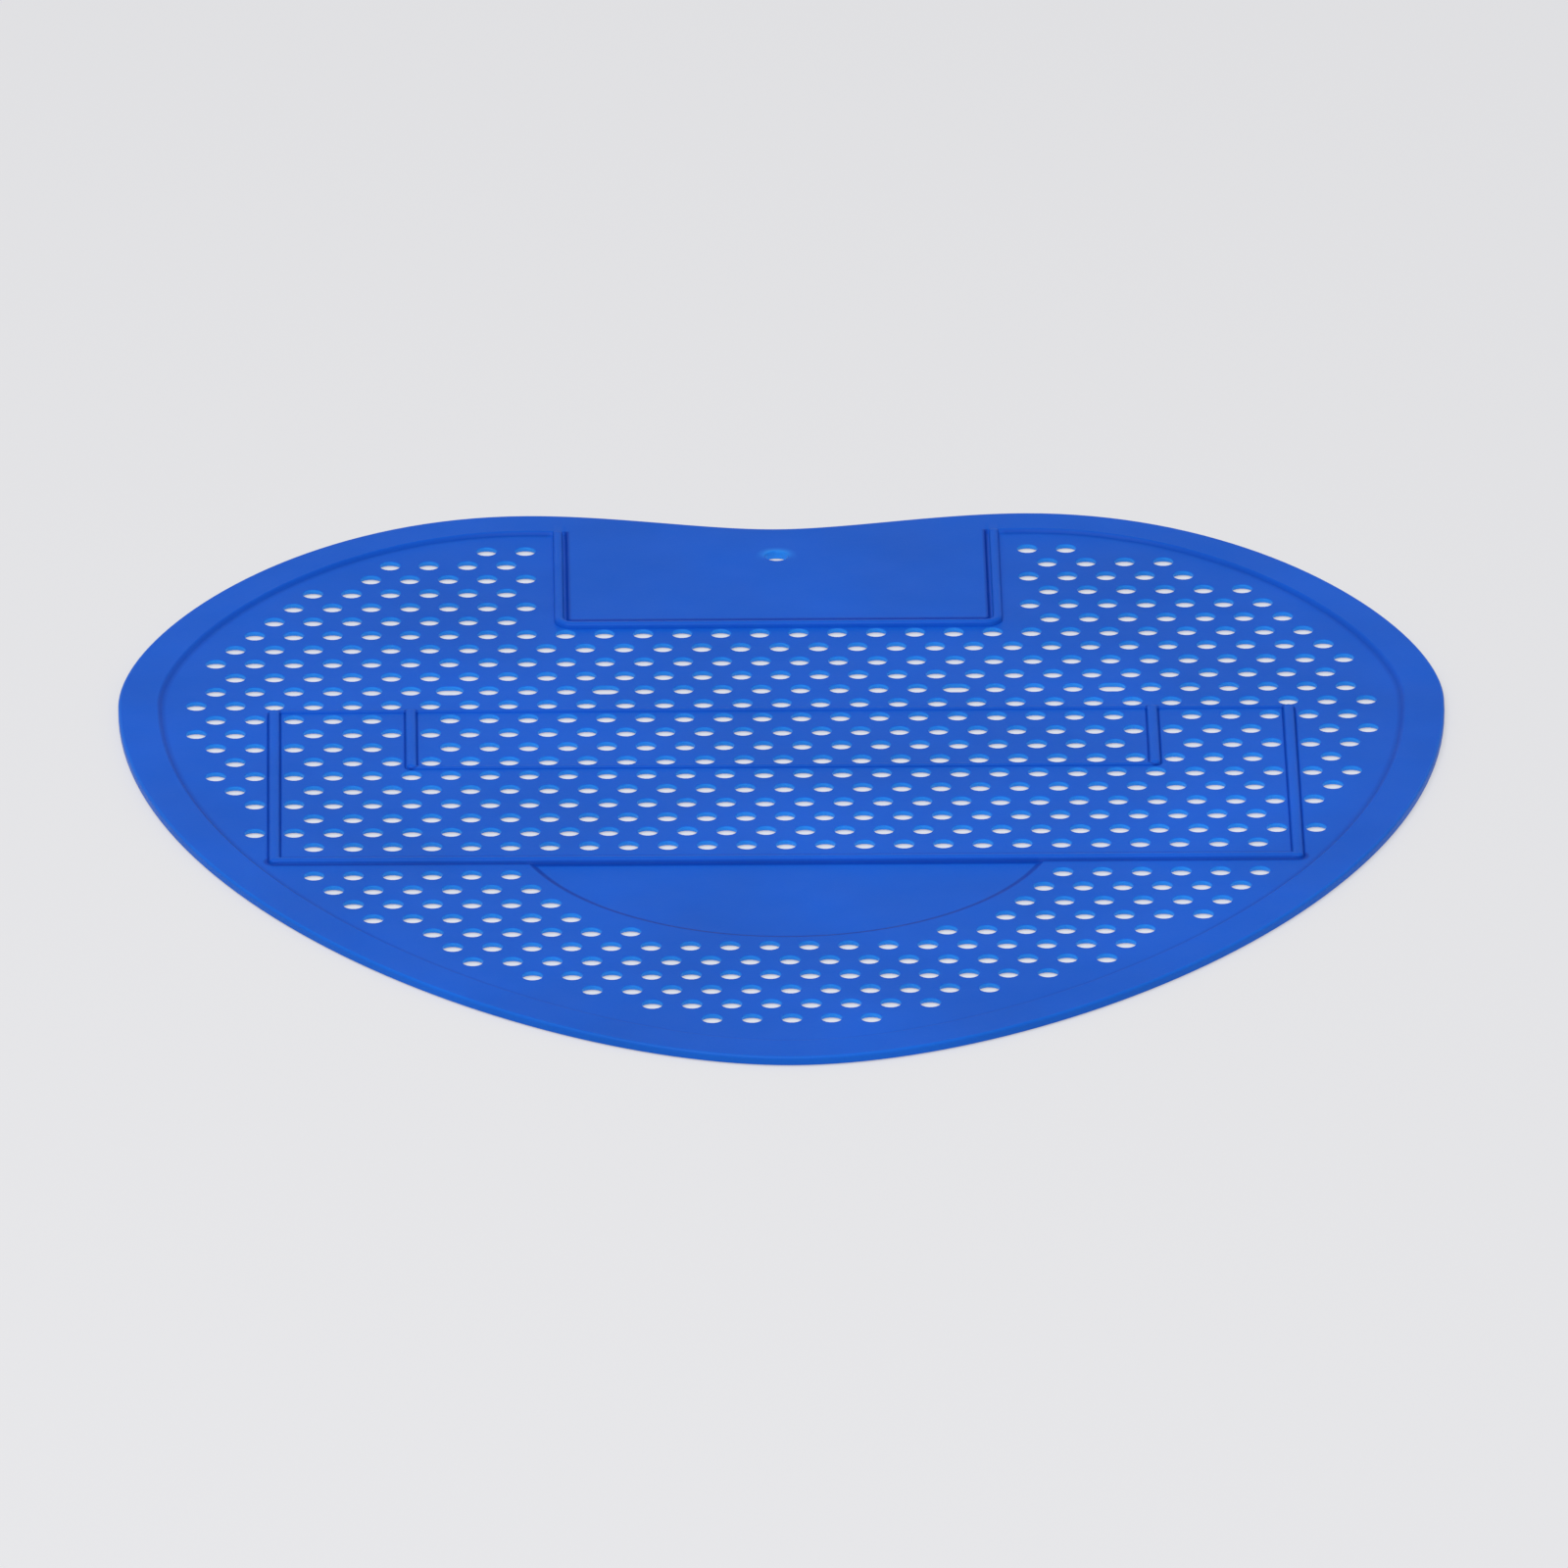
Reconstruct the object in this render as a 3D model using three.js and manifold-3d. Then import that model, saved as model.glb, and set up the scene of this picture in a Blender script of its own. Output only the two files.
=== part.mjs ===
// A soft moulded urinal screen: one thin perforated sheet that lies over the drain.
// The sheet is heart-like in plan, with a shallow notch in the edge that faces the wall.
// A raised rim runs round it. A plain label panel hangs from the rim at the notch, inside a U-shaped bead.
// Raised bars frame the middle of the sheet, and a plain crescent lies sunk below the lowest bar.
// Millimetres. X runs across, Y towards the wall, Z up, and the underside lies on Z = 0.
import * as THREE from "three";
import { mergeGeometries, mergeVertices } from "three/addons/utils/BufferGeometryUtils.js";
import Module from "manifold-3d";

const wasm = await Module();
wasm.setup();

// Plan of the sheet
const width = 187;
const depth = 182.5;
const notchDepth = 5.1;
const notchReach = 10;
const lobeOffset = 35.5;
const lobeReach = 12.5;
const shoulderReach = 34;
const widestFromTop = 64;
const sideReachUp = 23.5;
const sideReachDown = 66;
const tipReach = 36;
const outlineSteps = [5, 9, 11];

// Heights and the section of the rim
const webThickness = 0.8;
const rimWidth = 6.2;
const rimHeight = 1.3;
const rimRound = 0.4;

// Perforation: round holes in staggered rows. There are so many that each is cut with only three sides,
// and its corners stay clear of the bars.
const holePitch = 5.5;
const rowPitch = (holePitch * Math.sqrt(3)) / 2;
const holeRadius = 1.4;
const holeSides = 3;
const holeCornerRadius = 1.95;
const land = 0.25;
const firstHoleFromEdge = 10;
const slotStretch = 1.35;
const slotRow = 12;
const slotPlaces = [4.5, 8.5];

// Bars that frame the middle field, placed on the rows and columns of the holes
const beadWidth = 1.5;
const beadHeight = 1.3;
const lineWidth = 0.9;
const lineHeight = 1.1;
const barFromTip = 66.3;
const fieldRows = 10.5;
const splitRows = 6.5;
const longBarPlace = 13;
const shortBarPlace = 9.5;

// Label panel at the notch, with its U-shaped bead and the groove inside the bead
const labelWidth = 63.6;
const labelRow = 16;
const labelBeadWidth = 1.4;
const labelBeadHeight = 1.6;
const labelCorner = 2.6;
const leastCorner = 0.2;
const cornerSteps = 3;
const grooveWidth = 0.7;
const grooveDepth = 0.4;
const hangHoleRadius = 2;
const hangHoleFromEdge = 9.5;
const hangHoleSides = 10;

// Crescent panel below the lowest bar
const crescentWidth = 72.6;
const crescentDepth = 25.3;
const crescentSink = 0.3;
const crescentSteps = 18;

const colour = new THREE.Color(0.16, 0.36, 0.79);

// A cutter reaches this far past the faces that it cuts, and corners closer than the weld are one
const cutterReach = 1;
const weld = 1e-4;

const top = depth / 2;
const notchY = top - notchDepth;
const tipY = -depth / 2;
const widestY = top - widestFromTop;
const barY = tipY + barFromTip;
const fieldTopY = barY + fieldRows * rowPitch;
const splitY = barY + splitRows * rowPitch;
const longBarX = longBarPlace * holePitch;
const shortBarX = shortBarPlace * holePitch;
const labelBottomY = barY + labelRow * rowPitch + holeRadius + land;
const crescentTopY = barY - beadWidth / 2;
const crescentRadius = (crescentWidth ** 2 / 4 + crescentDepth ** 2) / (2 * crescentDepth);
const crescentCentreY = crescentTopY - crescentDepth + crescentRadius;

const outline = sheetOutline();

// The right half of the outline as three spans, from the notch over the lobe and the side to the tip
function sheetOutline() {
  const halfWidth = width / 2;
  const point = (x, y) => new THREE.Vector2(x, y);
  const spans = [
    new THREE.CubicBezierCurve(
      point(0, notchY), point(notchReach, notchY),
      point(lobeOffset - lobeReach, top), point(lobeOffset, top),
    ),
    new THREE.CubicBezierCurve(
      point(lobeOffset, top), point(lobeOffset + shoulderReach, top),
      point(halfWidth, widestY + sideReachUp), point(halfWidth, widestY),
    ),
    new THREE.CubicBezierCurve(
      point(halfWidth, widestY), point(halfWidth, widestY - sideReachDown),
      point(tipReach, tipY), point(0, tipY),
    ),
  ];
  const right = spans.flatMap((span, i) => span.getPoints(outlineSteps[i]).slice(0, -1));
  const left = right.slice(1).reverse().map((p) => point(-p.x, p.y));
  return [...right, point(0, tipY), ...left].reverse();
}

// The closed outline moved inwards by a distance, along the normal at each of its points
function inset(points, distance) {
  return points.map((p, i) => {
    const before = points.at(i - 1);
    const after = points[(i + 1) % points.length];
    const along = after.clone().sub(before).normalize();
    return new THREE.Vector2(p.x - along.y * distance, p.y + along.x * distance);
  });
}

// Distance of a place inside the sheet from the sheet's edge
function fromEdge(x, y) {
  const place = new THREE.Vector3(x, y, 0);
  const nearest = new THREE.Vector3();
  const distances = outline.map((p, i) => {
    const next = outline[(i + 1) % outline.length];
    const side = new THREE.Line3(new THREE.Vector3(p.x, p.y, 0), new THREE.Vector3(next.x, next.y, 0));
    side.closestPointToPoint(place, true, nearest);
    return nearest.distanceTo(place);
  });
  return Math.min(...distances);
}

function isInside(x, y) {
  let inside = false;
  outline.forEach((p, i) => {
    const next = outline[(i + 1) % outline.length];
    const crosses = p.y > y !== next.y > y;
    if (crosses && x < p.x + ((next.x - p.x) * (y - p.y)) / (next.y - p.y)) inside = !inside;
  });
  return inside;
}

function solidOf(geometry) {
  geometry.deleteAttribute("normal");
  geometry.deleteAttribute("uv");
  const merged = mergeVertices(geometry, weld);
  return new wasm.Manifold(
    new wasm.Mesh({
      numProp: 3,
      vertProperties: merged.attributes.position.array,
      triVerts: new Uint32Array(merged.index.array),
    }),
  );
}

// A flat shape raised from one height to another
function prism(shape, low, high) {
  const geometry = new THREE.ExtrudeGeometry(shape, { depth: high - low, bevelEnabled: false, curveSegments: cornerSteps });
  return solidOf(geometry.translate(0, 0, low));
}

function rectangle(x0, y0, x1, y1) {
  const corners = [[x0, y0], [x1, y0], [x1, y1], [x0, y1]];
  return new THREE.Shape(corners.map(([x, y]) => new THREE.Vector2(x, y)));
}

// The rim: its section, as steps in from the edge and heights, carried round the outline
function rim() {
  const section = [
    [0, 0],
    [0, rimHeight - rimRound],
    [rimRound, rimHeight],
    [rimWidth - rimRound, rimHeight],
    [rimWidth, webThickness],
    [rimWidth, 0],
  ];
  const loops = section.map(([step, z]) => inset(outline, step).map((p) => [p.x, p.y, z]));
  const count = outline.length;
  const index = [];
  loops.forEach((loop, i) => {
    const here = i * count;
    const there = ((i + 1) % loops.length) * count;
    loop.forEach((_, j) => {
      const k = (j + 1) % count;
      index.push(here + j, here + k, there + k, here + j, there + k, there + j);
    });
  });
  const geometry = new THREE.BufferGeometry();
  geometry.setAttribute("position", new THREE.Float32BufferAttribute(loops.flat(2), 3));
  geometry.setIndex(index);
  return solidOf(geometry);
}

// Whether a hole at this place would run into the edge, a panel or a bar
function isClear(x, y) {
  const reach = holeRadius + land;
  const across = Math.abs(x);
  const nearBar = beadWidth / 2 + reach;
  const inLabel = across < labelWidth / 2 + reach && y > labelBottomY;
  const fromCrescent = Math.hypot(x, y - crescentCentreY) - crescentRadius;
  const inCrescent = y < barY && fromCrescent < reach;
  const onLowBar = Math.abs(y - barY) < nearBar;
  const onLongBar = Math.abs(across - longBarX) < nearBar && y > barY && y < fieldTopY;
  const onShortBar = Math.abs(across - shortBarX) < nearBar && y > splitY && y < fieldTopY;
  const blocked = inLabel || inCrescent || onLowBar || onLongBar || onShortBar;
  return !blocked && isInside(x, y) && fromEdge(x, y) >= firstHoleFromEdge;
}

// A prism right through the web where a hole goes, with one corner towards the middle of the sheet
function holeCutter(x, y, stretch) {
  const height = 2 * (webThickness + cutterReach);
  const cutter = new THREE.CylinderGeometry(holeCornerRadius, holeCornerRadius, height, holeSides);
  const turn = x < 0 ? Math.PI / 2 : -Math.PI / 2;
  return cutter.rotateX(Math.PI / 2).rotateZ(turn).scale(stretch, 1, 1).translate(x, y, 0);
}

// The web with its rows of holes, counted up and down from the lowest bar
function web() {
  const cutters = [];
  const rowsDown = Math.floor((barY - tipY) / rowPitch);
  const rowsUp = Math.floor((top - barY) / rowPitch);
  const columns = Math.ceil(width / 2 / holePitch);
  for (let row = -rowsDown; row <= rowsUp; row++) {
    const shift = row % 2 === 0 ? 0.5 : 0;
    for (let column = -columns; column <= columns; column++) {
      const place = column + shift;
      const x = place * holePitch;
      const y = barY + row * rowPitch;
      const isSlot = row === slotRow && slotPlaces.includes(Math.abs(place));
      if (isClear(x, y)) cutters.push(holeCutter(x, y, isSlot ? slotStretch : 1));
    }
  }
  const sheet = prism(new THREE.Shape(inset(outline, rimWidth)), 0, webThickness);
  return sheet.subtract(solidOf(mergeGeometries(cutters)));
}

function bars() {
  const half = beadWidth / 2;
  const line = lineWidth / 2;
  const solids = [
    prism(rectangle(-longBarX - half, barY - half, longBarX + half, barY + half), 0, beadHeight),
    prism(rectangle(-longBarX, fieldTopY - line, longBarX, fieldTopY + line), 0, lineHeight),
    prism(rectangle(-shortBarX, splitY - line, shortBarX, splitY + line), 0, lineHeight),
  ];
  for (const side of [-1, 1]) {
    const long = side * longBarX;
    const short = side * shortBarX;
    solids.push(prism(rectangle(long - half, barY - half, long + half, fieldTopY + line), 0, beadHeight));
    solids.push(prism(rectangle(short - half, splitY - line, short + half, fieldTopY + line), 0, beadHeight));
  }
  return solids;
}

// The label's outline, open towards the rim: a box with two rounded lower corners, drawn in by a distance
function labelShape(step) {
  const side = labelWidth / 2 - step;
  const bottom = labelBottomY + step;
  const corner = Math.max(labelCorner - step, leastCorner);
  const shape = new THREE.Shape();
  shape.moveTo(-side, top);
  shape.lineTo(-side, bottom + corner);
  shape.absarc(-side + corner, bottom + corner, corner, Math.PI, 1.5 * Math.PI);
  shape.lineTo(side - corner, bottom);
  shape.absarc(side - corner, bottom + corner, corner, 1.5 * Math.PI, 2 * Math.PI);
  shape.lineTo(side, top);
  return shape;
}

// The panel at the rim's height, its bead up to the rim's inner line, and the groove between the two
function labelPanel() {
  const above = labelBeadHeight + cutterReach;
  const panelArea = prism(new THREE.Shape(inset(outline, rimWidth / 2)), 0, labelBeadHeight);
  const beadArea = prism(new THREE.Shape(inset(outline, rimWidth - 2 * rimRound)), 0, labelBeadHeight);
  const grooveArea = prism(new THREE.Shape(inset(outline, rimWidth + grooveWidth)), 0, labelBeadHeight);
  const panel = prism(labelShape(labelBeadWidth), 0, rimHeight).intersect(panelArea);
  const bead = prism(labelShape(0), 0, labelBeadHeight)
    .subtract(prism(labelShape(labelBeadWidth), -cutterReach, above));
  const grooveFloor = rimHeight - grooveDepth;
  const groove = prism(labelShape(labelBeadWidth), grooveFloor, above)
    .subtract(prism(labelShape(labelBeadWidth + grooveWidth), 0, above + cutterReach));
  return { solid: panel.add(bead.intersect(beadArea)), groove: groove.intersect(grooveArea) };
}

function hangHole() {
  const height = 2 * (rimHeight + cutterReach);
  const geometry = new THREE.CylinderGeometry(hangHoleRadius, hangHoleRadius, height, hangHoleSides);
  return solidOf(geometry.rotateX(Math.PI / 2).translate(0, notchY - hangHoleFromEdge, 0));
}

// The crescent's sunk face: the part of a disc that lies below the lowest bar
function crescent() {
  const halfAngle = Math.asin(crescentWidth / 2 / crescentRadius);
  const shape = new THREE.Shape();
  const points = [];
  for (let i = 0; i <= crescentSteps; i++) {
    const angle = -Math.PI / 2 - halfAngle + (2 * halfAngle * i) / crescentSteps;
    points.push(new THREE.Vector2(
      crescentRadius * Math.cos(angle),
      crescentCentreY + crescentRadius * Math.sin(angle),
    ));
  }
  points.push(new THREE.Vector2(crescentWidth / 2, barY), new THREE.Vector2(-crescentWidth / 2, barY));
  shape.setFromPoints(points);
  return prism(shape, webThickness - crescentSink, webThickness + cutterReach);
}

function screen() {
  const label = labelPanel();
  let solid = web().subtract(crescent()).add(rim()).add(label.solid);
  for (const bar of bars()) solid = solid.add(bar);
  solid = solid.subtract(label.groove).subtract(hangHole());
  const mesh = solid.getMesh();
  const geometry = new THREE.BufferGeometry();
  geometry.setAttribute("position", new THREE.BufferAttribute(mesh.vertProperties, 3));
  geometry.setIndex(new THREE.BufferAttribute(mesh.triVerts, 1));
  geometry.computeVertexNormals();
  const material = new THREE.MeshStandardMaterial({ color: colour, roughness: 0.45, metalness: 0 });
  const piece = new THREE.Mesh(geometry, material);
  piece.name = "screen";
  return piece;
}

const group = new THREE.Group();
group.add(screen());

export default group;
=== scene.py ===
"""A soft moulded washroom drain screen: one thin perforated sheet of blue vinyl, lying flat.

The sheet is heart-like in plan, with a raised rim, a plain label panel inside a U-shaped bead, bars that
frame the middle field and a plain crescent sunk below them. Metres, +Y towards the notch, +Z up.
"""
import math

import bpy
import numpy as np
from bpy.props import FloatProperty, FloatVectorProperty, IntProperty, PointerProperty
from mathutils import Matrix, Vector
from mathutils.geometry import delaunay_2d_cdt


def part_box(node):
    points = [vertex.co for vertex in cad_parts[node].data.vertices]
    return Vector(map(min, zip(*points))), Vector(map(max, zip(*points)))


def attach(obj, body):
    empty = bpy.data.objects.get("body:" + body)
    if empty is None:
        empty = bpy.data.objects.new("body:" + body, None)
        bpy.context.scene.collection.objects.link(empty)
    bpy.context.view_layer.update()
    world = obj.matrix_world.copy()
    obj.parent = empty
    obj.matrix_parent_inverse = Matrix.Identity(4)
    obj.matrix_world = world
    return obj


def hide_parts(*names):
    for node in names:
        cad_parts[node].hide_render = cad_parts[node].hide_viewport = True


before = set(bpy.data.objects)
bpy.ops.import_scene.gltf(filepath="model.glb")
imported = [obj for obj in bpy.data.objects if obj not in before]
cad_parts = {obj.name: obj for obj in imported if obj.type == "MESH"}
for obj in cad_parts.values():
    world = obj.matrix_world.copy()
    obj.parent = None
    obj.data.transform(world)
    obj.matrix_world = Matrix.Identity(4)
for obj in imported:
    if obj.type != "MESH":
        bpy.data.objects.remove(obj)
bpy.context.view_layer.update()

bl_info = {
    "name": "Drain Screen",
    "version": (1, 0, 0),
    "blender": (4, 5, 0),
    "location": "View3D > Sidebar > Drain Screen",
    "description": "Moulds a perforated drain screen in soft blue vinyl and lays it on a pale studio floor",
    "category": "Add Mesh",
}

MM = 0.001
LOW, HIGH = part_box("screen")

# How many pieces each curve is cut into
OUTLINE_STEPS = (24, 40, 56)
HOLE_SIDES = 18
ROUND_STEPS = 4
EDGE_ROUND_STEPS = 6
CORNER_STEPS = 8
CRESCENT_STEPS = 72

# Where lines run across a slope, as shares of its width
BEAD_LOOPS = (0.4, 0.7, 0.88, 1.0)
SLOPE_LOOPS = (0.0, 0.15, 0.35, 0.5, 0.65, 0.85, 1.0)
FOOT_LOOPS = (0.4, 1.0)
GROOVE_LOOPS = (0.25, 0.5, 0.65, 0.8, 1.0)

# Points of the flat pattern that lie nearer than this are one point
WELD = 1e-8

# How square a bead's section is, and where the groove's floor turns up to the label panel
BEAD_POWER = 2.4
GROOVE_FLOOR = 0.5

# How far the painted shade of creases reaches past their foot, and how strongly each kind shows
RIM_FADE = 0.6 * MM
LOW_BAR_FADE = 0.95 * MM
GROOVE_FADE = 0.4 * MM
BAR_SHADE = 1.4
GROOVE_SHADE = 1.5
CRESCENT_SHADE = 2.4
RIM_SHADE = 0.6

# How far and how strongly a painted glow shows round the hanging hole, and how strongly in the rim's side
HANG_GLOW = (0.4 * MM, 0.9 * MM, 1.5 * MM)
HANG_GLOW_SHARE = 0.55
EDGE_GLOW = 0.12

# Share of the web's thickness above which creases get painted shade
PAINTED_FROM = 0.5

# Faces that meet at a larger angle keep a sharp edge
SHARP_ANGLE = math.radians(42)

# The vinyl's noises: broad tone, slow waves, wear and grain
TONE_NOISE = {"scale": 24.0, "detail": 3.0, "roughness": 0.55}
WAVE_NOISE = {"scale": 22.0, "detail": 1.0, "roughness": 0.4}
WEAR_NOISE = {"scale": 90.0, "detail": 4.0, "roughness": 0.6}
GRAIN_NOISE = {"scale": 2200.0, "detail": 2.0, "roughness": 0.5}

# Where nearly all of a noise's values lie, and the spans and bumps that they are turned into
NOISE_SPAN = (0.3, 0.7)
TONE_SPAN = (0.9, 1.1)
WEAR_SPAN = (-0.05, 0.06)
WAVE_BUMP = {"strength": 0.35, "distance": 0.6 * MM}
GRAIN_BUMP = {"strength": 0.25, "distance": 0.04 * MM}

# How far red, green and blue light spread inside the vinyl, as shares of a depth
SPREAD_RADIUS = (0.15, 0.45, 1.0)
SPREAD_DEPTH = 1.2 * MM

# The colour sockets of a mix node: first and second colour, and result
MIX_FIRST = 6
MIX_SECOND = 7
MIX_RESULT = 2

# The floor, the lamp and the camera's sensor, which is in millimetres
FLOOR_HALF = 20.0
FLOOR_GAP = 0.15 * MM
FLOOR_ROUGHNESS = 0.9
LAMP_SIZE = 1.2
LAMP_PLACE = (-0.3, -0.6, 1.35)
SENSOR_WIDTH = 36.0


def length(name, millimetres, description):
    """A size that the sidebar shows as a length."""
    return FloatProperty(
        name=name, description=description, default=millimetres * MM, min=0.0, precision=5,
        subtype="DISTANCE", unit="LENGTH",
    )


def angle(name, degrees, description):
    """An angle that the sidebar shows in degrees."""
    return FloatProperty(
        name=name, description=description, default=math.radians(degrees), subtype="ANGLE", unit="ROTATION",
    )


def colour_value(name, default, description):
    """A colour that the sidebar shows as a swatch."""
    return FloatVectorProperty(
        name=name, description=description, default=default, size=3, min=0.0, max=1.0, subtype="COLOR",
    )


def share_value(name, default, description):
    """A share from 0 to 1 that the sidebar shows as a slider."""
    return FloatProperty(
        name=name, description=description, default=default, min=0.0, max=1.0, subtype="FACTOR",
    )


def pitch_count(name, default, description):
    """How many rows or pitches of the holes something lies away."""
    return FloatProperty(name=name, description=description, default=default, min=0.0)


def row_number(name, default, description):
    """The number of a row, counted up from the low bar."""
    return IntProperty(name=name, description=description, default=default, min=0)


class DrainScreenPlan(bpy.types.PropertyGroup):
    """The sheet's outline, from the notch over the lobe and the side to the tip."""

    notch_depth: length("Notch depth", 5.1, "How far the notch lies below the lobes")
    notch_reach: length("Notch reach", 10, "How far the notch runs straight before it turns up")
    lobe_offset: length("Lobe offset", 35.5, "Distance of a lobe's highest point from the middle")
    lobe_reach: length("Lobe reach", 12.5, "How far a lobe runs level towards the notch")
    shoulder_reach: length("Shoulder reach", 34, "How far a lobe runs level towards the side")
    widest_from_top: length("Widest place", 64, "Distance of the widest place below the lobes")
    side_reach_up: length("Side reach up", 23.5, "How far the side stays upright above its widest place")
    side_reach_down: length("Side reach down", 66, "How far the side stays upright below its widest place")
    tip_reach: length("Tip reach", 36, "How far the tip runs level to each side")


class DrainScreenSection(bpy.types.PropertyGroup):
    """The heights and rounding of the web and the rim."""

    web_thickness: length("Web thickness", 0.8, "Thickness of the perforated web")
    rim_width: length("Rim width", 6.2, "Width of the raised rim")
    rim_height: length("Rim height", 1.3, "Height of the rim and of the label panel")
    rim_slope: length("Rim slope", 0.8, "Width of the step from the rim down to the web")
    rim_round: length("Rim rounding", 0.42, "Radius of the rim's outer upper edge")
    under_round: length("Underside rounding", 0.2, "Radius of the rim's outer lower edge")


class DrainScreenHoles(bpy.types.PropertyGroup):
    """The staggered rows of holes."""

    pitch: length("Hole pitch", 5.5, "Distance between holes in a row")
    radius: length("Hole radius", 1.4, "Radius of a hole at its narrowest")
    rounding: length("Hole rounding", 0.2, "Radius of a hole's upper edge")
    flare: length("Hole flare", 0.22, "How much wider a hole is below than above")
    chamfer: length("Hole chamfer", 0.08, "Chamfer of a hole's lower edge")
    land: length("Land", 0.25, "Least width of plain web between a hole and a bar or panel")
    first_from_edge: length("First hole", 10, "Least distance of a hole from the sheet's edge")
    tip_from_edge: length("First hole at the tip", 11.5, "The same distance near the tip")
    tip_reach: length("Tip reach", 26, "How far above the tip the holes keep that distance")
    slot_straight: length("Slot straight", 1.0, "Straight length in the middle of a wide hole")
    slot_row: row_number("Slot row", 12, "Row above the low bar that has wide holes")
    slot_inner: pitch_count("Inner slot", 4.5, "Pitches from the middle to an inner wide hole")
    slot_outer: pitch_count("Outer slot", 8.5, "Pitches from the middle to an outer wide hole")
    hang_radius: length("Hanging hole radius", 1.6, "Radius of the hole that the sheet is hung up by")
    hang_from_edge: length("Hanging hole place", 9.5, "Distance of the hanging hole below the notch")


class DrainScreenRelief(bpy.types.PropertyGroup):
    """The bars, the label panel and the crescent."""

    bar_width: length("Bar width", 1.5, "Width of the bars round the middle field")
    bar_height: length("Bar height", 0.5, "Height of the bars above the web")
    foot_width: length("Foot width", 0.35, "Width of the shallow gutter along a bar")
    foot_depth: length("Foot depth", 0.14, "Depth of the shallow gutter along a bar")
    line_width: length("Line width", 0.9, "Width of the two thin lines across the field")
    line_height: length("Line height", 0.3, "Height of the two thin lines above the web")
    bar_from_tip: length("Low bar place", 66.3, "Distance of the low bar above the tip")
    field_rows: pitch_count("Field rows", 10.5, "Rows from the low bar to the upper thin line")
    split_rows: pitch_count("Split rows", 6.5, "Rows from the low bar to the lower thin line")
    long_bar: pitch_count("Long bar", 13, "Pitches from the middle to a long bar")
    short_bar: pitch_count("Short bar", 9.5, "Pitches from the middle to a short bar")
    label_width: length("Label width", 63.6, "Width of the label panel with its bead")
    label_row: row_number("Label row", 16, "Last row of holes below the label")
    label_corner: length("Label corner", 2.6, "Radius of the label's two lower corners")
    bead_width: length("Bead width", 1.4, "Width of the bead round the label")
    bead_height: length("Bead height", 0.8, "Height of the bead round the label above the web")
    groove_width: length("Groove width", 0.7, "Width of the groove inside the bead")
    groove_depth: length("Groove depth", 0.4, "Depth of the groove inside the bead")
    crescent_width: length("Crescent width", 72.6, "Width of the crescent along the low bar")
    crescent_depth: length("Crescent depth", 25.3, "Depth of the crescent below the low bar")
    crescent_sink: length("Crescent sink", 0.3, "How far the crescent's face lies below the web")
    crescent_slope: length("Crescent slope", 1.2, "Width of the step down into the crescent")


class DrainScreenVinyl(bpy.types.PropertyGroup):
    """The look of the soft blue vinyl."""

    colour: colour_value("Colour", (0.005, 0.106, 0.62), "Colour of the vinyl")
    # Painted shade: the colour that grooves, bar feet, the crescent's step and the rim's foot turn to
    painted_shade_colour: colour_value("Crease colour", (0.001, 0.052, 0.42), "Colour in grooves and beside bars")
    # Painted glow: a lighter colour on hole walls, the rim's side and round the hanging hole, where light
    # would shine through thin vinyl
    painted_glow_colour: colour_value("Lit colour", (0.03, 0.34, 1.0), "Colour where light shines through thin edges")
    roughness: share_value("Roughness", 0.42, "Mean roughness of the surface")
    gloss: share_value("Gloss", 0.1, "Strength of the surface's reflection")
    spread: share_value("Spread", 0.14, "Share of the light that spreads inside the vinyl")


class DrainScreenStage(bpy.types.PropertyGroup):
    """The floor, the light and the camera."""

    floor_colour: colour_value("Floor colour", (0.8, 0.8, 0.82), "Colour of the studio floor")
    floor_lift: share_value("Floor lift", 0.6, "How far the floor looks pale by itself, also in shadow")
    world_strength: FloatProperty(
        name="World", description="Strength of the light from all round", default=0.45, min=0.0,
    )
    lamp_power: FloatProperty(
        name="Lamp power", description="Power of the large soft lamp overhead", default=14.5, min=0.0,
        unit="POWER",
    )
    azimuth: angle("Azimuth", -0.8, "The camera's turn round the sheet")
    elevation: angle("Elevation", 24.7, "The camera's height above the horizon")
    distance: FloatProperty(
        name="Distance", description="Distance of the camera from the sheet's middle", default=4.8, min=0.0,
        subtype="DISTANCE", unit="LENGTH",
    )
    width_share: share_value("Width share", 0.85, "Share of the picture's width that the sheet takes")


# Plan of the sheet


def bezier(start, lift, fall, end, steps):
    """Points of a cubic curve, without its last one."""
    t = np.linspace(0, 1, steps, endpoint=False)[:, None]
    s = 1 - t
    corners = [np.array(corner) for corner in (start, lift, fall, end)]
    return s**3 * corners[0] + 3 * s**2 * t * corners[1] + 3 * s * t**2 * corners[2] + t**3 * corners[3]


def sheet_outline(plan):
    """The closed outline, counter-clockwise."""
    side, top, tip = HIGH.x, HIGH.y, LOW.y
    notch = top - plan.notch_depth
    widest = top - plan.widest_from_top
    upright = widest + plan.side_reach_up
    lobe = plan.lobe_offset
    spans = (
        ((0, notch), (plan.notch_reach, notch), (lobe - plan.lobe_reach, top), (lobe, top)),
        ((lobe, top), (lobe + plan.shoulder_reach, top), (side, upright), (side, widest)),
        ((side, widest), (side, widest - plan.side_reach_down), (plan.tip_reach, tip), (0, tip)),
    )
    right = np.vstack([bezier(*span, steps) for span, steps in zip(spans, OUTLINE_STEPS)])
    left = right[:0:-1] * (-1, 1)
    return np.vstack((right, [(0, tip)], left))[::-1]


def inset(loop, step):
    """A closed loop moved inwards, along the normal at each of its points."""
    along = np.roll(loop, -1, axis=0) - np.roll(loop, 1, axis=0)
    along /= np.linalg.norm(along, axis=1)[:, None]
    return loop + step * np.column_stack((-along[:, 1], along[:, 0]))


def closed(loop):
    """A loop with its first point again at its end."""
    return np.vstack((loop, loop[:1]))


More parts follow.
